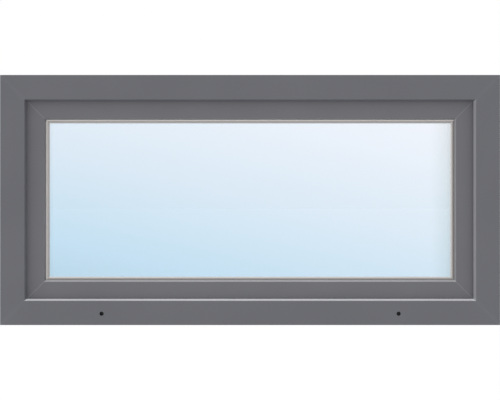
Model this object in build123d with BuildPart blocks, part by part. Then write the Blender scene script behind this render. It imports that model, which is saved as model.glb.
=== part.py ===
"""A single-sash PVC window with double glazing, closed, standing on its sill.

Every section is drawn in two directions: height runs inward from the window's outer edge towards the
glass, and depth runs from the outside face towards the room. The same section then makes the sill, the
head and both jambs, cut to 45 degree mitres as welded profiles are.

X runs to the right as seen from outside, Y runs from outside to the room, and Z runs up. The origin is the
middle of the sill's underside.
"""

from build123d import *

import os

# Overall size, from outer edge to outer edge
window_width = 1200.0
window_height = 600.0

# Walls of the hollow extrusions
wall = 2.8
web = 1.5

# Outer frame section
frame_depth = 70.0
frame_face = 59.0
nose_rise = 3.0
nose_depth = 17.0
rebate_height = 20.0
buffer_chamber = 7.0
frame_edge_radius = 1.5
nose_radius = 1.5

# Shallow undercut slots along the frame's outer edge, which clips and sealing tape key into
slot_inset = 17.0
slot_mouth = 9.0
slot_width = 13.0
slot_lip = 1.6
slot_depth = 3.8

# Round drain holes through the outside wall of the sill
drain_diameter = 10.0
drain_height = 27.5
drain_inset = 244.0

# Seals between the frame and the sash: a body in the gap and a foot in a groove
seal_gap = 3.5
seal_width = 5.5
seal_inset = 4.5
groove_width = 3.0
groove_depth = 3.5
groove_clearance = 0.2

# Sash section
rebate_gap = 12.0
sash_lap = 8.0
lap_thickness = 17.0
sash_face = 43.5
glazing_leg = 14.0
leg_draft = 2.0
leg_edge_radius = 1.5
glazing_rebate = 18.0
sash_edge_radius = 3.0

# Double glazing
pane_thickness = 4.0
pane_arris = 0.4
glass_cavity = 16.0
spacer_inset = 3.5
spacer_height = 7.0
block_height = 5.0
block_length = 100.0
block_inset = 120.0

# Glazing gaskets: the compressed thickness, the hidden reach behind the edge and the lips that show
gasket_gap = 3.0
gasket_reach = 8.0
outer_lip = 7.0
outer_bulge = 4.0
inner_lip = 3.5
inner_bulge = 1.5
lip_clearance = 0.3

# Glazing beads on the room side
bead_wall = 1.8
bead_setback = 0.5
bead_crest = 5.0
bead_toe = 6.0
bead_crest_radius = 4.0
bead_toe_radius = 2.0
bead_foot_width = 3.2
bead_foot_depth = 3.8
bead_foot_inset = 10.0
bead_groove_clearance = 0.4

# Handle on the room side, pointing down when the sash is locked
rose_length = 66.0
rose_width = 32.0
rose_thickness = 11.0
rose_corner_radius = 10.0
rose_edge_chamfer = 2.0
collar_margin = 1.0
collar_height = 14.0
handle_fit = 0.25
handle_reach = 45.0
handle_bend = 16.0
grip_length = 120.0
grip_width = 21.0
grip_thickness = 14.0
grip_corner_radius = 5.5
grip_end_radius = 4.0

# Hinges on the room side: a bearing on the frame and a leaf on the sash
hinge_height = 62.0
hinge_offset = 10.5
hinge_radius = 8.0
hinge_gap = 0.4
bearing_height = 24.0
bearing_plate_height = 48.0
bearing_plate_width = 19.0
bearing_plate_thickness = 3.0
bearing_web = 9.0
spigot_diameter = 7.0
spigot_height = 28.0
spigot_clearance = 0.05
knuckle_height = 42.0
leaf_thickness = 3.0
leaf_reach = 28.0
hinge_edge_chamfer = 1.0

# Heights of the section's edges, measured inward from the window's outer edge
frame_sight = frame_face + nose_rise
rebate_base = frame_sight - rebate_height
sash_edge = rebate_base + rebate_gap
lap_edge = rebate_base - sash_lap
sash_sight = frame_sight + sash_face
glazing_base = sash_sight - glazing_rebate
glass_edge = glazing_base + block_height

# Depths of the section's faces, measured from the outside face towards the room
sash_front = nose_depth + seal_gap
lap_front = frame_depth + seal_gap
sash_back = lap_front + lap_thickness
leg_back = sash_front + glazing_leg
glass_front = leg_back + gasket_gap
cavity_front = glass_front + pane_thickness
cavity_back = cavity_front + glass_cavity
glass_back = cavity_back + pane_thickness
bead_front = glass_back + gasket_gap
bead_back = sash_back - bead_setback
bead_foot_centre = bead_back - bead_foot_inset

# Where depth is measured from, so that the origin lies under the middle of the frame
outside_y = -frame_depth / 2
room_y = outside_y + sash_back

# One plane for each side, with height along its x, depth along its y and the member's run along its z
half_width = window_width / 2
side_runs = {
    "sill": (Plane((half_width, outside_y, 0), (0, 0, 1), (-1, 0, 0)), window_width),
    "left": (Plane((-half_width, outside_y, 0), (1, 0, 0), (0, 0, 1)), window_height),
    "head": (Plane((-half_width, outside_y, window_height), (0, 0, -1), (1, 0, 0)), window_width),
    "right": (Plane((half_width, outside_y, window_height), (-1, 0, 0), (0, 0, -1)), window_height),
}


def span(low_height, high_height, low_depth, high_depth, mode=Mode.ADD):
    """A rectangle of the section, given by its heights and depths."""
    with Locations(((low_height + high_height) / 2, (low_depth + high_depth) / 2)):
        Rectangle(high_height - low_height, high_depth - low_depth, mode=mode)


def mitred_member(section, side):
    """One straight length of a section along a side, mitred at both of the window's corners."""
    plane, run = side_runs[side]
    far_corner = plane.origin + plane.z_dir * run
    with BuildPart() as member:
        with BuildSketch(plane):
            add(section)
        extrude(amount=run)
        split(bisect_by=Plane(plane.origin, z_dir=plane.z_dir - plane.x_dir), keep=Keep.TOP)
        split(bisect_by=Plane(far_corner, z_dir=-plane.z_dir - plane.x_dir), keep=Keep.TOP)
    return member.part


def mitred_ring(section):
    """A section that runs all the way round, with its four lengths joined at the corners."""
    with BuildPart() as ring:
        for side in side_runs:
            add(mitred_member(section, side))
    return ring.part


def save(part, name):
    """Labels a finished piece and writes it to its own file."""
    part.label = name
    export_step(part, f"parts/{name}.step")


os.makedirs("parts", exist_ok=True)

# Outer frame section: a body with a nose that laps over the sash on the outside
seal_centre = frame_sight - seal_inset
nose_slope = nose_rise / nose_depth
nose_chamber_back = nose_depth - groove_depth - web
nose_chamber_top = frame_face - wall
body_chamber_low = slot_depth + web
body_chamber_high = rebate_base - wall

with BuildSketch() as frame_section:
    with BuildLine():
        FilletPolyline(
            (0, 0),
            (frame_face, 0),
            (frame_sight, nose_depth),
            (rebate_base, nose_depth),
            (rebate_base, frame_depth),
            (0, frame_depth),
            radius=(frame_edge_radius, nose_radius, nose_radius, 0, nose_radius, frame_edge_radius),
            close=True,
        )
    make_face()
    # Groove for the frame seal in the back of the nose
    span(
        seal_centre - groove_width / 2,
        seal_centre + groove_width / 2,
        nose_depth - groove_depth,
        nose_depth,
        mode=Mode.SUBTRACT,
    )
    # Clip slots in the outer edge, each with two lips
    for slot_centre in (slot_inset, frame_depth - slot_inset):
        mouth_half = slot_mouth / 2
        slot_half = slot_width / 2
        span(0, slot_lip, slot_centre - mouth_half, slot_centre + mouth_half, mode=Mode.SUBTRACT)
        span(slot_lip, slot_depth, slot_centre - slot_half, slot_centre + slot_half, mode=Mode.SUBTRACT)
    # Front chamber, which runs up into the nose and takes the drain holes
    with BuildLine():
        Polyline(
            (body_chamber_low, wall),
            (nose_chamber_top + wall * nose_slope, wall),
            (nose_chamber_top + nose_chamber_back * nose_slope, nose_chamber_back),
            (body_chamber_low, nose_chamber_back),
            close=True,
        )
    make_face(mode=Mode.SUBTRACT)
    # Buffer, steel, buffer and room chambers behind it
    steel_front = nose_chamber_back + web + buffer_chamber + web
    steel_back = frame_depth - wall - 2 * (buffer_chamber + web)
    for chamber_front, chamber_back in (
        (nose_chamber_back + web, nose_chamber_back + web + buffer_chamber),
        (steel_front, steel_back),
        (steel_back + web, steel_back + web + buffer_chamber),
        (frame_depth - wall - buffer_chamber, frame_depth - wall),
    ):
        span(body_chamber_low, body_chamber_high, chamber_front, chamber_back, mode=Mode.SUBTRACT)

frame_names = {
    "sill": "frame_sill",
    "left": "frame_left_jamb",
    "head": "frame_head",
    "right": "frame_right_jamb",
}
for side, name in frame_names.items():
    if side == "sill":
        continue
    save(mitred_member(frame_section.sketch, side), name)

# The sill has the drain holes, drilled from outside into the front chamber
drain_plane = Plane((0, outside_y, drain_height), (1, 0, 0), (0, -1, 0))
drain_spread = window_width - 2 * drain_inset
with BuildPart() as frame_sill:
    add(mitred_member(frame_section.sketch, "sill"))
    with BuildSketch(drain_plane):
        with GridLocations(drain_spread, 0, 2, 1):
            Circle(drain_diameter / 2)
    extrude(amount=-(wall + nose_chamber_back) / 2, mode=Mode.SUBTRACT)
save(frame_sill.part, frame_names["sill"])

# Sash section: a body with a lap over the frame on the room side and a drafted leg in front of the glass
lap_seal_centre = lap_edge + seal_inset
gasket_foot_centre = sash_sight - gasket_reach / 2
leg_chamber_back = leg_back - groove_depth - web
sash_chamber_low = sash_edge + wall
bead_groove_depth = bead_foot_depth + bead_groove_clearance
sash_chamber_high = glazing_base - bead_groove_depth - web
lap_chamber_front = lap_front + groove_depth + web
sash_steel_front = leg_chamber_back + web + buffer_chamber + web
leg_edge = sash_sight - leg_draft

with BuildSketch() as sash_section:
    with BuildLine():
        FilletPolyline(
            (sash_edge, sash_front),
            (leg_edge, sash_front),
            (sash_sight, leg_back),
            (glazing_base, leg_back),
            (glazing_base, sash_back),
            (lap_edge, sash_back),
            (lap_edge, lap_front),
            (sash_edge, lap_front),
            radius=(0, leg_edge_radius, 0, 0, 0, sash_edge_radius, 0, 0),
            close=True,
        )
    make_face()
    # Grooves for the outer glazing gasket, the sash seal and the feet of the beads
    span(
        gasket_foot_centre - groove_width / 2,
        gasket_foot_centre + groove_width / 2,
        leg_back - groove_depth,
        leg_back,
        mode=Mode.SUBTRACT,
    )
    span(
        lap_seal_centre - groove_width / 2,
        lap_seal_centre + groove_width / 2,
        lap_front,
        lap_front + groove_depth,
        mode=Mode.SUBTRACT,
    )
    bead_groove_half = bead_foot_width / 2 + bead_groove_clearance
    span(
        glazing_base - bead_groove_depth,
        glazing_base,
        bead_foot_centre - bead_groove_half,
        bead_foot_centre + bead_groove_half,
        mode=Mode.SUBTRACT,
    )
    # Front chamber up into the glazing leg, buffer and steel chambers, and a room chamber down into the lap
    for chamber_low, chamber_high, chamber_front, chamber_back in (
        (sash_chamber_low, leg_edge - wall, sash_front + wall, leg_chamber_back),
        (sash_chamber_low, sash_chamber_high, leg_chamber_back + web, sash_steel_front - web),
        (sash_chamber_low, sash_chamber_high, sash_steel_front, lap_chamber_front - web),
        (lap_edge + wall, sash_chamber_high, lap_chamber_front, sash_back - wall),
    ):
        span(chamber_low, chamber_high, chamber_front, chamber_back, mode=Mode.SUBTRACT)

sash_names = {
    "sill": "sash_bottom_rail",
    "left": "sash_left_stile",
    "head": "sash_top_rail",
    "right": "sash_right_stile",
}
for side, name in sash_names.items():
    save(mitred_member(sash_section.sketch, side), name)

# Seals that the closed sash presses on, each with its foot in a groove
foot_half = groove_width / 2 - groove_clearance
foot_depth = groove_depth - groove_clearance

with BuildSketch() as frame_seal_section:
    span(seal_centre - seal_width / 2, seal_centre + seal_width / 2, nose_depth, sash_front)
    span(seal_centre - foot_half, seal_centre + foot_half, nose_depth - foot_depth, nose_depth)
save(mitred_ring(frame_seal_section.sketch), "frame_seal")

with BuildSketch() as sash_seal_section:
    span(lap_seal_centre - seal_width / 2, lap_seal_centre + seal_width / 2, frame_depth, lap_front)
    span(lap_seal_centre - foot_half, lap_seal_centre + foot_half, lap_front, lap_front + foot_depth)
save(mitred_ring(sash_seal_section.sketch), "sash_seal")

# Outer glazing gasket: a strip between the leg and the glass, with a round bead that shows
gasket_low = sash_sight - gasket_reach
lip_low = sash_sight + lip_clearance

with BuildSketch() as outer_gasket_section:
    with BuildLine():
        strip = Polyline(
            (sash_sight + outer_lip, glass_front),
            (gasket_low, glass_front),
            (gasket_low, leg_back),
            (lip_low, leg_back),
        )
        crown = ((lip_low + sash_sight + outer_lip) / 2, leg_back - outer_bulge)
        ThreePointArc(strip @ 1, crown, strip @ 0)
    make_face()
    span(gasket_foot_centre - foot_half, gasket_foot_centre + foot_half, leg_back - foot_depth, leg_back)
save(mitred_ring(outer_gasket_section.sketch), "outer_glazing_gasket")

# Inner glazing gasket: the same strip between the glass and the beads, with a smaller lip
with BuildSketch() as inner_gasket_section:
    with BuildLine():
        strip = Polyline(
            (sash_sight + inner_lip, glass_back),
            (gasket_low, glass_back),
            (gasket_low, bead_front),
            (lip_low, bead_front),
            (lip_low, bead_front + inner_bulge),
        )
        TangentArc(strip @ 1, strip @ 0, tangent=(1, 0))
    make_face()
save(mitred_ring(inner_gasket_section.sketch), "inner_glazing_gasket")

# Glazing beads: a hollow wedge with a rounded crest and toe, and a foot clipped into the sash
with BuildSketch() as bead_section:
    with BuildLine():
        FilletPolyline(
            (glazing_base, bead_front),
            (sash_sight, bead_front),
            (sash_sight, bead_front + bead_crest),
            (glazing_base + bead_toe, bead_back),
            (glazing_base, bead_back),
            radius=(0, 0, bead_crest_radius, bead_toe_radius, 0),
            close=True,
        )
    make_face()
    offset(amount=-bead_wall, mode=Mode.SUBTRACT)
    span(
        glazing_base - bead_foot_depth,
        glazing_base,
        bead_foot_centre - bead_foot_width / 2,
        bead_foot_centre + bead_foot_width / 2,
    )

bead_names = {"sill": "bead_bottom", "left": "bead_left", "head": "bead_top", "right": "bead_right"}
for side, name in bead_names.items():
    save(mitred_member(bead_section.sketch, side), name)

# Double glazing: two panes with arrised edges, a spacer ring between them and two setting blocks
pane_width = window_width - 2 * glass_edge
pane_height = window_height - 2 * glass_edge

for name, pane_front in (("outer_pane", glass_front), ("inner_pane", cavity_back)):
    pane_plane = Plane((0, outside_y + pane_front, window_height / 2), (1, 0, 0), (0, -1, 0))
    with BuildPart() as pane:
        with BuildSketch(pane_plane):
            Rectangle(pane_width, pane_height)
        extrude(amount=-pane_thickness)
        chamfer(pane.edges().filter_by(Axis.Y, reverse=True), pane_arris)
    save(pane.part, name)

spacer_low = glass_edge + spacer_inset
with BuildSketch() as spacer_section:
    span(spacer_low, spacer_low + spacer_height, cavity_front, cavity_back)
save(mitred_ring(spacer_section.sketch), "glass_spacer")

block_plane = Plane((0, outside_y + (glass_front + glass_back) / 2, glazing_base), (1, 0, 0), (0, 0, 1))
block_spread = pane_width - 2 * block_inset - block_length
with BuildPart() as setting_blocks:
    with BuildSketch(block_plane):
        with GridLocations(block_spread, 0, 2, 1):
            Rectangle(block_length, glass_back - glass_front)
    extrude(amount=block_height)
save(setting_blocks.part, "setting_blocks")

# Handle on the room face of the left stile, at mid height
collar_radius = (grip_width + collar_margin) / 2
handle_x = -half_width + (lap_edge + glazing_base) / 2
handle_plane = Plane((handle_x, room_y, window_height / 2), (1, 0, 0), (0, 1, 0))

with BuildPart() as handle_rose:
    with BuildSketch(handle_plane):
        RectangleRounded(rose_width, rose_length, rose_corner_radius)
        Circle(collar_radius + handle_fit, mode=Mode.SUBTRACT)
    extrude(amount=rose_thickness)
    rose_rim = handle_rose.faces().sort_by(Axis.Y)[-1].outer_wire().edges()
    chamfer(rose_rim, rose_edge_chamfer)
save(handle_rose.part, "handle_rose")

lever_plane = Plane((handle_x, room_y, window_height / 2), (0, 1, 0), (1, 0, 0))
with BuildPart() as handle_lever:
    with BuildSketch(handle_plane):
        Circle(collar_radius)
    extrude(amount=collar_height)
    with BuildLine(lever_plane) as lever_path:
        FilletPolyline((0, 0), (handle_reach, 0), (handle_reach, -grip_length), radius=handle_bend)
    with BuildSketch(handle_plane):
        RectangleRounded(grip_width, grip_thickness, grip_corner_radius)
    sweep(path=lever_path.line)
    grip_end = handle_lever.faces().sort_by(Axis.Z)[0]
    fillet(grip_end.edges(), grip_end_radius)
save(handle_lever.part, "handle_lever")

# Hinges on the room side of the right jamb, on an axis beside the sash's lap
hinge_x = half_width - lap_edge + hinge_offset
hinge_y = room_y + leaf_thickness - hinge_radius
frame_room_y = outside_y + frame_depth
bearing_plane = Plane((hinge_x, frame_room_y, hinge_height), (1, 0, 0), (0, 0, 1))
knuckle_low = bearing_height + hinge_gap
axis_offset = hinge_y - frame_room_y

with BuildPart() as lower_hinge_bearing:
    with BuildSketch(bearing_plane):
        with Locations((0, bearing_plate_thickness / 2)):
            Rectangle(bearing_plate_width, bearing_plate_thickness)
    extrude(amount=bearing_plate_height)
    with BuildSketch(bearing_plane):
        with Locations((0, axis_offset)):
            Circle(hinge_radius)
        with Locations((0, axis_offset / 2)):
            Rectangle(bearing_web, axis_offset)
    extrude(amount=bearing_height)
    plate_corners = lower_hinge_bearing.edges().filter_by(Axis.Y).group_by(Axis.Z)[-1]
    fillet(plate_corners, bearing_plate_thickness)
    with BuildSketch(bearing_plane):
        with Locations((0, axis_offset)):
            Circle(spigot_diameter / 2)
    extrude(amount=bearing_height + spigot_height)
save(lower_hinge_bearing.part, "lower_hinge_bearing")

leaf_plane = bearing_plane.offset(knuckle_low)
leaf_width = hinge_offset + leaf_reach
with BuildPart() as lower_hinge_leaf:
    with BuildSketch(leaf_plane):
        with Locations((0, axis_offset)):
            Circle(hinge_radius)
    extrude(amount=knuckle_height)
    knuckle_cap = lower_hinge_leaf.faces().sort_by(Axis.Z)[-1].edges()
    chamfer(knuckle_cap, hinge_edge_chamfer)
    with BuildSketch(leaf_plane):
        with Locations((-leaf_width / 2, axis_offset + hinge_radius - leaf_thickness / 2)):
            Rectangle(leaf_width, leaf_thickness)
    extrude(amount=knuckle_height - 2 * hinge_edge_chamfer)
    leaf_corners = lower_hinge_leaf.edges().filter_by(Axis.Y).group_by(Axis.X)[0]
    fillet(leaf_corners, leaf_thickness)
    with BuildSketch(leaf_plane):
        with Locations((0, axis_offset)):
            Circle(spigot_diameter / 2 + spigot_clearance)
    extrude(amount=spigot_height, mode=Mode.SUBTRACT)
save(lower_hinge_leaf.part, "lower_hinge_leaf")

# The upper hinge is the lower one mirrored at mid height
mid_height = Plane.XY.offset(window_height / 2)
save(mirror(lower_hinge_bearing.part, about=mid_height), "upper_hinge_bearing")
save(mirror(lower_hinge_leaf.part, about=mid_height), "upper_hinge_leaf")
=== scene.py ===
"""Looks of a single-sash PVC window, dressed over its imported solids.

The outer frame, the sash, the beads, the glazing, the seals and the fittings keep the shapes of their
solids. This script gives each of them its finish, adds the screws of the hinge leaves, and sets up a
white light tent with a camera square to the outside face.

X runs to the right as seen from outside, Y runs from outside to the room, and Z runs up, all in metres.
"""

import logging
import math
from abc import ABC, abstractmethod
from dataclasses import dataclass
from enum import Enum
from typing import Any, Mapping, Optional, Sequence, Union

import bmesh
import bpy
from mathutils import Matrix, Vector


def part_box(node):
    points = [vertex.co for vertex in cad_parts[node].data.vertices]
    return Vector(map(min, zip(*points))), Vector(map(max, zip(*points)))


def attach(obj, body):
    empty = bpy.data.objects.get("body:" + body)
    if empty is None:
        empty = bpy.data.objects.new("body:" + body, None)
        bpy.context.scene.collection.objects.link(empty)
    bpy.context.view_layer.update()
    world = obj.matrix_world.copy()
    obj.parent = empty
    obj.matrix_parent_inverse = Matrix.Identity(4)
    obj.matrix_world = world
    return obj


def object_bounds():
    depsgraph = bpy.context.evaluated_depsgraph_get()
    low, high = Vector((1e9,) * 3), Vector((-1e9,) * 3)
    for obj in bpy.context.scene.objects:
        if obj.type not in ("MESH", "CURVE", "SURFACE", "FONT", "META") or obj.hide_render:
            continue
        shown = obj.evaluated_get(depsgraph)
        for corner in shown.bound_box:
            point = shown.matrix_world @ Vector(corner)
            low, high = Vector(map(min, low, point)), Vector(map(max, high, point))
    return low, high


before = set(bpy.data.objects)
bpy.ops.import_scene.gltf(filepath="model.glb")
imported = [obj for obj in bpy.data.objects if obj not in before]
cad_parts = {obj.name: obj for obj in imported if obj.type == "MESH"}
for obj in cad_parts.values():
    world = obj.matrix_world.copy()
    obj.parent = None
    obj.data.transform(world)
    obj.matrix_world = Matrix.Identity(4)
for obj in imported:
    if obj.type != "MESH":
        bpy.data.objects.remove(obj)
CAD_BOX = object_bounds()

LOG = logging.getLogger("pvc_window")
ROOT_BODY = "root"
MM = 0.001

Colour = tuple[float, float, float]
Operand = Union["Value", float]
Paint = Union["Value", Colour]
Stops = tuple[tuple[float, Colour], ...]

WHITE: Colour = (1.0, 1.0, 1.0)
# Most of a noise lies within this span, around its mean, which is also the middle of a ramp.
NOISE_SPAN = (0.3, 0.7)
MIDDLE = 0.5
# The sockets of a Mix node that mixes colours.
MIX_FACTOR, MIX_FIRST, MIX_SECOND = 0, 6, 7
MIX_RESULT = 2


class Slot(Enum):
    """The record's material slots, which new pieces are handed but do not use."""

    FITTINGS = "fittings"


class Level(Enum):
    """The two hinges, by their place on the jamb."""

    LOWER = "lower"
    UPPER = "upper"


class Bank(Enum):
    """Where a light hangs: its place, the point that it faces, and its size."""

    ABOVE = ((0.0, 0.0, 2.4), (0.0, 0.0, 0.0), (2.0, 0.1))
    LEFT = ((-2.0, 0.0, 0.3), (0.0, 0.0, 0.3), (0.1, 1.0))


def rgba(colour: Colour) -> tuple[float, float, float, float]:
    """Returns a colour with full alpha."""
    return (*colour, 1.0)


@dataclass(frozen=True)
class Value:
    """One output of a shader graph, with Python's operators standing for Math nodes."""

    graph: "Graph"
    socket: bpy.types.NodeSocket

    def __add__(self, other: Operand) -> "Value":
        """Returns the sum."""
        return self.graph.math("ADD", self, other)

    def __radd__(self, other: Operand) -> "Value":
        """Returns the sum with a number."""
        return self.graph.math("ADD", other, self)

    def __sub__(self, other: Operand) -> "Value":
        """Returns the difference."""
        return self.graph.math("SUBTRACT", self, other)

    def __rsub__(self, other: Operand) -> "Value":
        """Returns a number less this value."""
        return self.graph.math("SUBTRACT", other, self)

    def __mul__(self, other: Operand) -> "Value":
        """Returns the product."""
        return self.graph.math("MULTIPLY", self, other)

    def __rmul__(self, other: Operand) -> "Value":
        """Returns the product with a number."""
        return self.graph.math("MULTIPLY", other, self)

    def __truediv__(self, other: Operand) -> "Value":
        """Returns the quotient."""
        return self.graph.math("DIVIDE", self, other)

    def __abs__(self) -> "Value":
        """Returns the value without its sign."""
        return self.graph.math("ABSOLUTE", self)

    def __mod__(self, period: float) -> "Value":
        """Returns the value's place within a repeat."""
        return self.graph.math("FLOORED_MODULO", self, period)

    def at_most(self, other: Operand) -> "Value":
        """Returns the smaller of two values."""
        return self.graph.math("MINIMUM", self, other)

    def rise(self, low: float, high: float) -> "Value":
        """Turns the value into a smooth step.

        Args:
            low: Where the step leaves 0.
            high: Where the step reaches 1.

        Returns:
            A value from 0 to 1.
        """
        settings = {"interpolation_type": "SMOOTHSTEP"}
        sockets = {"Value": self, "From Min": low, "From Max": high}
        return self.graph.value("ShaderNodeMapRange", "Result", settings, sockets)


class Graph:
    """The node tree of one material, written as expressions."""

    def __init__(self, name: str) -> None:
        """Starts an empty material.

        Args:
            name: The material's name.
        """
        self.material = bpy.data.materials.new(name)
        self.material.use_nodes = True
        self.tree = self.material.node_tree
        self.tree.nodes.clear()

    def node(
        self,
        kind: str,
        settings: Mapping[str, Any],
        sockets: Mapping[Union[str, int], Any],
    ) -> bpy.types.Node:
        """Adds a node.

        Args:
            kind: The node's type.
            settings: Its properties, which are set first. A ramp's stops are pairs of place and colour.
            sockets: The values or links of its inputs, by name or place.

        Returns:
            The node.
        """
        made = self.tree.nodes.new(kind)
        for key, setting in settings.items():
            if key == "stops":
                self._set_stops(made.color_ramp, setting)
            else:
                setattr(made, key, setting)
        for key, given in sockets.items():
            if isinstance(given, Value):
                self.tree.links.new(given.socket, made.inputs[key])
            else:
                made.inputs[key].default_value = given
        return made

    @staticmethod
    def _set_stops(ramp: bpy.types.ColorRamp, stops: Stops) -> None:
        """Sets a ramp's stops.

        Args:
            ramp: The ramp.
            stops: Pairs of place and colour, from low to high.
        """
        while len(ramp.elements) < len(stops):
            ramp.elements.new(1.0)
        for element, (place, colour) in zip(ramp.elements, stops):
            element.position = place
            element.color = rgba(colour)

    def value(
        self,
        kind: str,
        output: Union[str, int],
        settings: Optional[Mapping[str, Any]] = None,
        sockets: Optional[Mapping[Union[str, int], Any]] = None,
    ) -> Value:
        """Adds a node for one of its outputs.

        Args:
            kind: The node's type.
            output: The output's name or place.
            settings: The node's properties.
            sockets: The values or links of its inputs.

        Returns:
            The output.
        """
        return Value(self, self.node(kind, settings or {}, sockets or {}).outputs[output])

    def math(self, operation: str, first: Operand, second: Operand = 0.0) -> Value:
        """Adds a Math node.

        Args:
            operation: Its operation.
            first: The first operand.
            second: The second operand, where the operation has one.

        Returns:
            The result.
        """
        return self.value("ShaderNodeMath", 0, {"operation": operation}, {0: first, 1: second})

    def mix(self, factor: Operand, first: Paint, second: Paint, blend: str = "MIX") -> Value:
        """Mixes two colours.

        Args:
            factor: 0 gives the first colour, and 1 the blend.
            first: The first colour.
            second: The second colour.
            blend: The blend's kind.

        Returns:
            The mixed colour.
        """
        paints = {MIX_FIRST: first, MIX_SECOND: second}
        colours = {
            key: paint if isinstance(paint, Value) else rgba(paint) for key, paint in paints.items()
        }
        settings = {"data_type": "RGBA", "blend_type": blend}
        return self.value("ShaderNodeMix", MIX_RESULT, settings, {MIX_FACTOR: factor, **colours})

    def point(self) -> Value:
        """Returns the surface point in the window's own frame."""
        return self.value("ShaderNodeTexCoord", "Object")

    def parts(self, vector: Value) -> tuple[Value, Value, Value]:
        """Splits a vector.

        Args:
            vector: The vector.

        Returns:
            Its X, Y and Z.
        """
        split = self.node("ShaderNodeSeparateXYZ", {}, {"Vector": vector})
        x, y, z = (Value(self, split.outputs[axis]) for axis in "XYZ")
        return x, y, z

    def vector(self, x: Operand, y: Operand, z: Operand) -> Value:
        """Joins three values into a vector.

        Args:
            x: The first value.
            y: The second value.
            z: The third value.

        Returns:
            The vector.
        """
        return self.value("ShaderNodeCombineXYZ", 0, None, {"X": x, "Y": y, "Z": z})

    def noise(self, vector: Value, scale: float, detail: float = 2.0) -> Value:
        """Adds a noise texture.

        Args:
            vector: Where it is read.
            scale: Its waves a metre.
            detail: Its octaves.

        Returns:
            A value from 0 to 1.
        """
        sockets = {"Vector": vector, "Scale": scale, "Detail": detail}
        return self.value("ShaderNodeTexNoise", 0, None, sockets)

    def bump(self, height: Value, depth: float) -> Value:
        """Adds a bump.

        Args:
            height: The surface's height, in steps.
            depth: The height of one step, in metres.

        Returns:
            The bumped normal.
        """
        return self.value("ShaderNodeBump", 0, None, {"Height": height, "Distance": depth})

    def principled(self, sockets: Mapping[str, Any]) -> Value:
        """Adds a Principled shader.

        Args:
            sockets: The values or links of its inputs.

        Returns:
            The shader.
        """
        return self.value("ShaderNodeBsdfPrincipled", 0, None, sockets)

    def finish(self, shader: Value) -> bpy.types.Material:
        """Ends the tree.

        Args:
            shader: The shader of the whole surface.

        Returns:
            The material.
        """
        self.node("ShaderNodeOutputMaterial", {}, {"Surface": shader})
        return self.material


class Finish(ABC):
    """A finish that makes one material, shared by all the pieces that have it."""

    @property
    @abstractmethod
    def name(self) -> str:
        """The material's name."""

    @abstractmethod
    def draw(self, graph: Graph) -> bpy.types.Material:
        """Draws the finish.

        Args:
            graph: An empty graph.

        Returns:
            The finished material.
        """

    def material(self) -> bpy.types.Material:
        """Returns the finish's material, made at its first use."""
        made = bpy.data.materials.get(self.name)
        return made if made else self.draw(Graph(self.name))


@dataclass(frozen=True)
class PvcFoil(Finish):
    """Anthracite foil on the extrusions: satin and faintly grained, with polished welds on the mitres."""

    label: str
    width: float
    height: float
    colour: Colour = (0.118, 0.120, 0.135)
    shade: Colour = (0.112, 0.114, 0.129)
    weld_gain: float = 1.45
    weld_core: float = 0.5 * MM
    weld_edge: float = 1.1 * MM
    polish_gain: float = 1.04
    polish_edge: float = 6.5 * MM
    cloud_scale: float = 7.0
    grain_scale: float = 1500.0
    grain_depth: float = 0.02 * MM
    weld_steps: float = 4.0
    roughness: float = 0.46
    roughness_play: float = 0.10

    @property
    def name(self) -> str:
        """The material's name."""
        return self.label

    def seam(self, graph: Graph, point: Value, core: float, edge: float) -> Value:
        """Marks a band along the mitres, which run at 45 degrees from each outer corner.

        Args:
            graph: The graph.
            point: The surface point.
            core: How far from the mitre the band is full.
            edge: How far from the mitre the band ends.

        Returns:
            1 on a mitre and 0 away from it.
        """
        x, _, z = graph.parts(point)
        from_side = self.width / 2 - abs(x)
        from_end = z.at_most(self.height - z)
        return 1 - abs(from_side - from_end).rise(core, edge)

    def face(self, graph: Graph, point: Value) -> Value:
        """Colours the foil away from the welds.

        Args:
            graph: The graph.
            point: The surface point.

        Returns:
            The colour.
        """
        cloud = graph.noise(point, self.cloud_scale).rise(*NOISE_SPAN)
        return graph.mix(cloud, self.colour, self.shade)

    def draw(self, graph: Graph) -> bpy.types.Material:
        """Draws the foil.

        Args:
            graph: An empty graph.

        Returns:
            The finished material.
        """
        point = graph.point()
        weld = self.seam(graph, point, self.weld_core, self.weld_edge)
        polish = self.seam(graph, point, 0.0, self.polish_edge)
        grain = graph.noise(point, self.grain_scale)
        foil = self.face(graph, point)
        rubbed = graph.mix(polish, foil, (self.polish_gain,) * 3, "MULTIPLY")
        bared = graph.mix(weld, rubbed, (self.weld_gain,) * 3, "MULTIPLY")
        shader = graph.principled(
            {
                "Base Color": bared,
                "Roughness": self.roughness + self.roughness_play * (grain - MIDDLE),
                "Normal": graph.bump(grain - self.weld_steps * weld, self.grain_depth),
            }
        )
        return graph.finish(shader)


@dataclass(frozen=True)
class FrameFoil(PvcFoil):
    """The foil of the outer frame, with softer welds, and with the bare core inside the drain holes painted
    near-black, as painted shade of the holes.
    """

    weld_gain: float = 1.08
    polish_gain: float = 1.045
    polish_edge: float = 12 * MM
    outside: float = -35 * MM
    core_shade_colour: Colour = (0.016, 0.016, 0.02)
    core_radius: float = 12 * MM
    core_start: float = 0.5 * MM
    core_end: float = 30 * MM
    drain_offset: float = 356 * MM
    drain_height: float = 27.5 * MM
    blend: float = 0.5 * MM

    def face(self, graph: Graph, point: Value) -> Value:
        """Colours the foil, and the core behind it around the drain holes, painted near-black as the holes'
        painted shade.

        Args:
            graph: The graph.
            point: The surface point.

        Returns:
            The colour.
        """
        x, y, z = graph.parts(point)
        across, up, depth = abs(x) - self.drain_offset, z - self.drain_height, y - self.outside
        core_edge = self.core_radius + self.blend
        near = 1 - (across * across + up * up).rise(self.core_radius**2, core_edge**2)
        behind = depth.rise(self.core_start, self.core_start + self.blend)
        before = 1 - depth.rise(self.core_end, self.core_end + self.blend)
        # Painted shade: the walls of the drain holes take a near-black core colour.
        return graph.mix(near * behind * before, super().face(graph, point), self.core_shade_colour)


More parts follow.
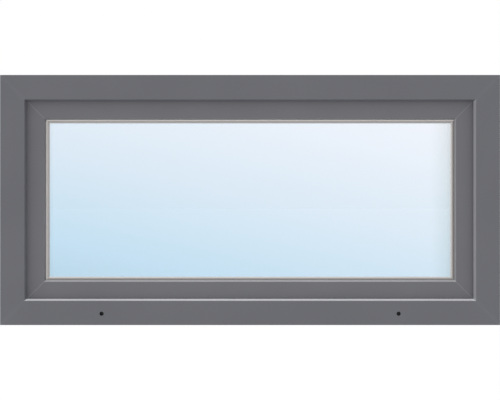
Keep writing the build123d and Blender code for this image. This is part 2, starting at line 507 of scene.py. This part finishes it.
@dataclass(frozen=True)
class SealRubber(Finish):
    """Light grey sealing rubber, matt and a little mottled."""

    colour: Colour = (0.36, 0.345, 0.335)
    shade: Colour = (0.33, 0.315, 0.305)
    mottle_scale: float = 260.0
    skin_scale: float = 2600.0
    skin_depth: float = 0.02 * MM
    roughness: float = 0.55
    roughness_play: float = 0.12

    @property
    def name(self) -> str:
        """The material's name."""
        return "light_grey_seal_rubber"

    def draw(self, graph: Graph) -> bpy.types.Material:
        """Draws the rubber.

        Args:
            graph: An empty graph.

        Returns:
            The finished material.
        """
        point = graph.point()
        mottle = graph.noise(point, self.mottle_scale)
        skin = graph.noise(point, self.skin_scale)
        shader = graph.principled(
            {
                "Base Color": graph.mix(mottle.rise(*NOISE_SPAN), self.colour, self.shade),
                "Roughness": self.roughness + self.roughness_play * (skin - MIDDLE),
                "Normal": graph.bump(skin, self.skin_depth),
            }
        )
        return graph.finish(shader)


@dataclass(frozen=True)
class FloatGlass(Finish):
    """Clear float glass with a painted sky reflection, a cool tone that deepens along a slanting line, and a
    painted darker reflection towards its right edge.

    Soft light passes straight through it, so that the spacer and the seals behind it are lit.
    """

    label: str
    centre: Vector
    half_width: float
    stops: Stops
    slant: float = 0.227
    reach: float = 0.30
    streak_scale: float = 16.0
    streak_stretch: float = 0.06
    streak_detail: float = 3.0
    streak_depth: float = 0.035
    dark_reflection_band: float = 75 * MM
    dark_reflection_colour: Colour = (0.90, 0.915, 0.90)
    ior: float = 1.45

    @property
    def name(self) -> str:
        """The material's name."""
        return self.label

    def face_tint(self) -> Colour:
        """Works out the tint that one of the pane's two faces gives to soft light.

        Returns:
            The square root of the mean of the first and the last stop.
        """
        (_, first), (_, last) = self.stops[0], self.stops[-1]
        red, green, blue = (math.sqrt((a + b) / 2) for a, b in zip(first, last))
        return red, green, blue

    def draw(self, graph: Graph) -> bpy.types.Material:
        """Draws the glass.

        Args:
            graph: An empty graph.

        Returns:
            The finished material.
        """
        x, _, z = graph.parts(graph.point())
        along = x - self.centre.x
        # Painted sky reflection: a tone that climbs along a slanting line, with faint streaks, turned into
        # colour by the ramp.
        climb = (z - self.centre.z) + self.slant * along
        drawn_out = graph.vector(along * self.streak_stretch, 0.0, climb)
        streaks = graph.noise(drawn_out, self.streak_scale, self.streak_detail)
        tone = climb / (2 * self.reach) + MIDDLE + self.streak_depth * (streaks - MIDDLE)
        tint = graph.value("ShaderNodeValToRGB", "Color", {"stops": self.stops}, {"Fac": tone})
        # Painted darker reflection, growing towards the pane's right edge.
        edge = along.rise(self.half_width - self.dark_reflection_band, self.half_width)
        colour = graph.mix(edge, tint, self.dark_reflection_colour, "MULTIPLY")
        glass = {"Base Color": colour, "Roughness": 0.0, "IOR": self.ior, "Transmission Weight": 1.0}
        clear = graph.value("ShaderNodeBsdfTransparent", 0, None, {"Color": rgba(self.face_tint())})
        path = graph.node("ShaderNodeLightPath", {}, {})
        rays = ("Is Shadow Ray", "Is Diffuse Ray")
        lamp, soft = (Value(graph, path.outputs[name]) for name in rays)
        sockets = {0: lamp + soft, 1: graph.principled(glass), 2: clear}
        return graph.finish(graph.value("ShaderNodeMixShader", 0, None, sockets))


@dataclass(frozen=True)
class SpacerMetal(Finish):
    """Matt aluminium spacer bar with a row of breather holes."""

    middle: float
    colour: Colour = (0.55, 0.57, 0.60)
    hole_colour: Colour = (0.05, 0.05, 0.055)
    hole_pitch: float = 4 * MM
    hole_radius: float = 0.7 * MM
    hole_core: float = 0.56 * MM
    roughness: float = 0.38

    @property
    def name(self) -> str:
        """The material's name."""
        return "matt_aluminium_spacer"

    def draw(self, graph: Graph) -> bpy.types.Material:
        """Draws the bar.

        Args:
            graph: An empty graph.

        Returns:
            The finished material.
        """
        x, y, z = graph.parts(graph.point())
        along = (x + z) % self.hole_pitch - self.hole_pitch / 2
        across = y - self.middle
        distance = graph.math("SQRT", along * along + across * across)
        hole = 1 - distance.rise(self.hole_core, self.hole_radius)
        shader = graph.principled(
            {
                "Base Color": graph.mix(hole, self.colour, self.hole_colour),
                "Metallic": 1 - hole,
                "Roughness": self.roughness,
            }
        )
        return graph.finish(shader)


@dataclass(frozen=True)
class Lacquer(Finish):
    """Satin lacquer on metal or moulded fittings, with a soft orange-peel skin."""

    label: str
    colour: Colour
    shade: Colour
    peel_scale: float = 700.0
    peel_span: tuple[float, float] = (0.35, 0.65)
    peel_depth: float = 0.02 * MM
    roughness: float = 0.36
    roughness_play: float = 0.08
    metallic: float = 0.0

    @property
    def name(self) -> str:
        """The material's name."""
        return self.label

    def draw(self, graph: Graph) -> bpy.types.Material:
        """Draws the lacquer.

        Args:
            graph: An empty graph.

        Returns:
            The finished material.
        """
        peel = graph.noise(graph.point(), self.peel_scale)
        shader = graph.principled(
            {
                "Base Color": graph.mix(peel.rise(*self.peel_span), self.colour, self.shade),
                "Metallic": self.metallic,
                "Roughness": self.roughness + self.roughness_play * (peel - MIDDLE),
                "Normal": graph.bump(peel, self.peel_depth),
            }
        )
        return graph.finish(shader)


@dataclass(frozen=True)
class TentFloor(Finish):
    """White floor of the light tent, which glows enough to keep shadows faint."""

    colour: Colour = (0.05, 0.05, 0.05)
    shade: Colour = (0.04, 0.04, 0.04)
    glow: float = 0.97
    cloud_scale: float = 2.0
    roughness: float = 0.9

    @property
    def name(self) -> str:
        """The material's name."""
        return "tent_floor"

    def draw(self, graph: Graph) -> bpy.types.Material:
        """Draws the floor.

        Args:
            graph: An empty graph.

        Returns:
            The finished material.
        """
        cloud = graph.noise(graph.point(), self.cloud_scale)
        shader = graph.principled(
            {
                "Base Color": graph.mix(cloud, self.colour, self.shade),
                "Roughness": self.roughness,
                "Specular IOR Level": 0.0,
                "Emission Color": rgba(WHITE),
                "Emission Strength": self.glow,
            }
        )
        return graph.finish(shader)


class SubAssembly(ABC):
    """A group of pieces that belong together."""

    @abstractmethod
    def dress(self) -> list[bpy.types.Object]:
        """Builds and finishes the pieces.

        Returns:
            The pieces.
        """

    @staticmethod
    def coat(names: Sequence[str], finish: Finish) -> list[bpy.types.Object]:
        """Gives solids their finish.

        Args:
            names: The solids' nodes.
            finish: The finish.

        Returns:
            The solids' objects.
        """
        objects = [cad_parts[name] for name in names]
        for obj in objects:
            obj.data.materials.clear()
            obj.data.materials.append(finish.material())
        return objects

    @staticmethod
    def piece(name: str, mesh: bmesh.types.BMesh, slot: Slot, finish: Finish) -> bpy.types.Object:
        """Makes a new piece out of a mesh that stands in its place.

        Args:
            name: The piece's name.
            mesh: Its mesh, which is freed.
            slot: The record's slot for it; not used.
            finish: Its finish.

        Returns:
            The piece, which rides on the window.
        """
        data = bpy.data.meshes.new(name)
        mesh.to_mesh(data)
        mesh.free()
        data.materials.append(finish.material())
        obj = bpy.data.objects.new(name, data)
        bpy.context.scene.collection.objects.link(obj)
        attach(obj, ROOT_BODY)
        return obj


@dataclass
class Profiles(SubAssembly):
    """The extrusions of the outer frame, the sash and the beads."""

    frame_foil: PvcFoil
    sash_foil: PvcFoil
    frame_members: tuple[str, ...] = (
        "frame_sill",
        "frame_head",
        "frame_left_jamb",
        "frame_right_jamb",
    )
    sash_members: tuple[str, ...] = (
        "sash_bottom_rail",
        "sash_top_rail",
        "sash_left_stile",
        "sash_right_stile",
    )
    beads: tuple[str, ...] = ("bead_bottom", "bead_top", "bead_left", "bead_right")

    def dress(self) -> list[bpy.types.Object]:
        """Finishes the extrusions.

        Returns:
            Their objects.
        """
        sash = self.coat(self.sash_members + self.beads, self.sash_foil)
        return self.coat(self.frame_members, self.frame_foil) + sash


@dataclass
class Glazing(SubAssembly):
    """The two panes, their spacer and the blocks that they stand on."""

    # Colours of the painted sky reflection on the outer pane, from the lower left to the upper right.
    painted_sky_stops: Stops = (
        (0.0, (0.500, 0.685, 0.815)),
        (0.15, (0.558, 0.748, 0.885)),
        (0.5, (0.725, 0.832, 0.925)),
        (1.0, (0.915, 0.935, 0.995)),
    )
    inner_stops: Stops = (
        (0.0, (0.97, 0.985, 0.99)),
        (1.0, (0.97, 0.985, 0.99)),
    )
    block: Lacquer = Lacquer(
        "black_setting_block", (0.03, 0.03, 0.03), (0.025, 0.025, 0.025), roughness=0.6
    )

    def pane(self, node: str, label: str, stops: Stops) -> list[bpy.types.Object]:
        """Finishes one pane.

        Args:
            node: The pane's node.
            label: The name of its finish.
            stops: Its tints, from the lower left to the upper right; on the outer pane they are a painted
                sky reflection.

        Returns:
            The pane.
        """
        low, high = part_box(node)
        return self.coat((node,), FloatGlass(label, (low + high) / 2, (high.x - low.x) / 2, stops))

    def dress(self) -> list[bpy.types.Object]:
        """Finishes the glazing.

        Returns:
            Its objects.
        """
        low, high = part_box("glass_spacer")
        return (
            self.pane("outer_pane", "float_glass_painted_sky_reflection", self.painted_sky_stops)
            + self.pane("inner_pane", "clear_float_glass", self.inner_stops)
            + self.coat(("glass_spacer",), SpacerMetal((low.y + high.y) / 2))
            + self.coat(("setting_blocks",), self.block)
        )


@dataclass
class Seals(SubAssembly):
    """The glazing gaskets and the seals that the closed sash presses on."""

    rubber: SealRubber = SealRubber()
    rings: tuple[str, ...] = (
        "outer_glazing_gasket",
        "inner_glazing_gasket",
        "frame_seal",
        "sash_seal",
    )

    def dress(self) -> list[bpy.types.Object]:
        """Finishes the seals.

        Returns:
            Their objects.
        """
        return self.coat(self.rings, self.rubber)


@dataclass
class Fittings(SubAssembly):
    """The handle and the hinges on the room side, with the screws of the hinge leaves."""

    lacquer: Lacquer = Lacquer("anthracite_lacquer", (0.082, 0.084, 0.096), (0.077, 0.079, 0.091))
    steel: Lacquer = Lacquer(
        "screw_steel", (0.30, 0.30, 0.32), (0.27, 0.27, 0.29), roughness=0.3, metallic=1.0
    )
    nodes: tuple[str, ...] = (
        "handle_rose",
        "handle_lever",
        "lower_hinge_bearing",
        "lower_hinge_leaf",
        "upper_hinge_bearing",
        "upper_hinge_leaf",
    )
    screw_radius: float = 3.2 * MM
    screw_rise: float = 1.2 * MM
    screw_dome: float = 0.6 * MM
    dome_segments: int = 3
    flat_tolerance: float = 0.006 * MM
    screw_inset: float = 7 * MM
    screw_segments: int = 24
    cross_length: float = 3.8 * MM
    cross_width: float = 1.1 * MM
    cross_depth: float = 0.9 * MM
    cross_taper: float = 0.6

    def screw(self, mesh: bmesh.types.BMesh, place: Vector) -> None:
        """Adds a cross-head screw that faces the room.

        Args:
            mesh: The mesh that takes it.
            place: The middle of its seat.
        """
        turn = Matrix.Translation(place) @ Matrix.Rotation(-math.pi / 2, 4, "X")
        head = bmesh.ops.create_cone(
            mesh,
            cap_ends=True,
            segments=self.screw_segments,
            radius1=self.screw_radius,
            radius2=self.screw_radius,
            depth=self.screw_rise,
            matrix=turn @ Matrix.Translation((0, 0, self.screw_rise / 2)),
        )["verts"]
        faces = {face for vert in head for face in vert.link_faces}
        crown = max(faces, key=lambda face: face.calc_center_median().y)
        bmesh.ops.bevel(
            mesh,
            geom=list(crown.edges),
            offset=self.screw_dome,
            segments=self.dome_segments,
            profile=0.5,
            affect="EDGES",
            material=-1,
        )
        self.cross(mesh, place + Vector((0, self.screw_rise, 0)))

    def cross(self, mesh: bmesh.types.BMesh, centre: Vector) -> None:
        """Sinks a tapered cross into the flat top of a screw.

        Args:
            mesh: The mesh of the screws.
            centre: The middle of the screw's top.
        """
        reach, half = self.cross_length / 2, self.cross_width / 2
        for axis in (Vector((1, 0, 0)), Vector((0, 0, 1))):
            for offset in (-reach, -half, half, reach):
                top = self.top_faces(mesh, centre)
                geom = top + [e for f in top for e in f.edges] + [v for f in top for v in f.verts]
                bmesh.ops.bisect_plane(
                    mesh, geom=list(set(geom)), plane_co=centre + axis * offset, plane_no=axis
                )
        arms = []
        for face in self.top_faces(mesh, centre):
            across = face.calc_center_median() - centre
            near, far = sorted((abs(across.x), abs(across.z)))
            if near < half and far < reach:
                arms.append(face)
        rims = list({edge for face in arms for edge in face.edges})
        sunk = bmesh.ops.extrude_face_region(mesh, geom=arms + rims)["geom"]
        floor = [item for item in sunk if isinstance(item, bmesh.types.BMVert)]
        bmesh.ops.translate(mesh, verts=floor, vec=(0, -self.cross_depth, 0))
        taper = (self.cross_taper, 1, self.cross_taper)
        bmesh.ops.scale(mesh, verts=floor, vec=taper, space=Matrix.Translation(-centre))

    def top_faces(self, mesh: bmesh.types.BMesh, centre: Vector) -> list[bmesh.types.BMFace]:
        """Finds the faces of a screw's flat top.

        Args:
            mesh: The mesh of the screws.
            centre: The middle of the screw's top.

        Returns:
            The faces.
        """
        found = []
        for face in mesh.faces:
            across = face.calc_center_median() - centre
            if abs(across.y) < self.flat_tolerance and across.length < self.screw_radius:
                found.append(face)
        return found

    def screws(self) -> bpy.types.Object:
        """Builds the screws of both leaves.

        Returns:
            The screws.
        """
        mesh = bmesh.new()
        for level in Level:
            low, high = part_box(f"{level.value}_hinge_leaf")
            for height in (low.z + self.screw_inset, high.z - self.screw_inset):
                self.screw(mesh, Vector((low.x + self.screw_inset, high.y, height)))
        return self.piece("hinge_screws", mesh, Slot.FITTINGS, self.steel)

    def dress(self) -> list[bpy.types.Object]:
        """Finishes the fittings and adds the screws.

        Returns:
            Their objects.
        """
        return self.coat(self.nodes, self.lacquer) + [self.screws()]


@dataclass(frozen=True)
class Softbox:
    """One area light of the studio, which falls on a single piece of the window."""

    bank: Bank
    subject: str
    power: float
    tone: Colour = (1.0, 0.985, 0.91)
    shadows: bool = True

    def hang(self) -> bpy.types.Object:
        """Hangs the light.

        Returns:
            The light, which falls only on its piece, without glare, and is shaded only by it.
        """
        name = f"{self.subject}_{self.bank.name.lower()}"
        place, aim, size = self.bank.value
        data = bpy.data.lights.new(name, "AREA")
        data.shape = "RECTANGLE"
        data.size, data.size_y = size
        data.energy = self.power
        data.color = self.tone
        data.use_shadow = self.shadows
        light = bpy.data.objects.new(name, data)
        light.location = place
        light.rotation_euler = (Vector(aim) - Vector(place)).to_track_quat("-Z", "Y").to_euler()
        light.visible_glossy = False
        bpy.context.scene.collection.objects.link(light)
        lit = bpy.data.collections.new(name)
        lit.objects.link(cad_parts[self.subject])
        light.light_linking.receiver_collection = lit
        light.light_linking.blocker_collection = lit
        return light


@dataclass
class Studio:
    """A white light tent, with accent lights and a camera square to the outside face."""

    target: Vector
    sidestep: float = -0.25 * MM
    distance: float = 2.797
    lens: float = 84.0
    sensor: float = 36.0
    tent_glow: float = 1.0
    lights: tuple[Softbox, ...] = (
        Softbox(Bank.ABOVE, "frame_sill", 262.0),
        Softbox(Bank.LEFT, "frame_right_jamb", 95.0),
        Softbox(Bank.ABOVE, "sash_bottom_rail", 155.0),
        Softbox(Bank.LEFT, "sash_right_stile", 72.0),
        Softbox(Bank.ABOVE, "outer_glazing_gasket", 76.0, WHITE, False),
        Softbox(Bank.LEFT, "outer_glazing_gasket", 48.0, WHITE, False),
    )
    floor_reach: float = 40.0

    def camera(self) -> bpy.types.Object:
        """Places the camera.

        Returns:
            The camera.
        """
        data = bpy.data.cameras.new("camera")
        data.lens = self.lens
        data.sensor_fit = "HORIZONTAL"
        data.sensor_width = self.sensor
        camera = bpy.data.objects.new("camera", data)
        camera.location = self.target + Vector((self.sidestep, -self.distance, 0))
        camera.rotation_euler = (math.pi / 2, 0, 0)
        bpy.context.scene.collection.objects.link(camera)
        bpy.context.scene.camera = camera
        return camera

    def tent(self) -> None:
        """Lights the scene evenly from all around."""
        world = bpy.data.worlds.new("tent")
        world.use_nodes = True
        background = world.node_tree.nodes["Background"]
        background.inputs["Color"].default_value = rgba(WHITE)
        background.inputs["Strength"].default_value = self.tent_glow
        bpy.context.scene.world = world

    def floor(self) -> bpy.types.Object:
        """Lays the floor.

        Returns:
            The floor.
        """
        mesh = bmesh.new()
        bmesh.ops.create_grid(mesh, x_segments=1, y_segments=1, size=self.floor_reach)
        data = bpy.data.meshes.new("floor")
        mesh.to_mesh(data)
        mesh.free()
        data.materials.append(TentFloor().material())
        floor = bpy.data.objects.new("floor", data)
        bpy.context.scene.collection.objects.link(floor)
        return floor

    def set_up(self) -> None:
        """Builds the studio and keeps the tent's white as white in the picture."""
        self.floor()
        self.tent()
        for light in self.lights:
            light.hang()
        self.camera()
        bpy.context.scene.view_settings.view_transform = "Standard"


def main() -> None:
    """Dresses the window, one sub-assembly after another, and sets up the studio."""
    logging.basicConfig(level=logging.INFO, format="%(name)s: %(message)s")
    low, high = CAD_BOX
    frame_low, frame_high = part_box("frame_sill")
    width, height = frame_high.x - frame_low.x, high[2] - low[2]
    foil = FrameFoil("frame_foil", width, height, outside=frame_low.y)
    # The sash's foil is the frame's foil painted a little lighter: painted light on the recessed sash.
    sash_foil = PvcFoil(
        "sash_foil", width, height, colour=(0.134, 0.135, 0.150), shade=(0.128, 0.129, 0.143)
    )
    assemblies: tuple[SubAssembly, ...] = (Profiles(foil, sash_foil), Glazing(), Seals(), Fittings())
    for assembly in assemblies:
        for obj in assembly.dress():
            LOG.info("%s has %s", obj.name, obj.data.materials[0].name)
    Studio(target=Vector((0, frame_low.y, height / 2))).set_up()


if __name__ == "__main__":
    main()
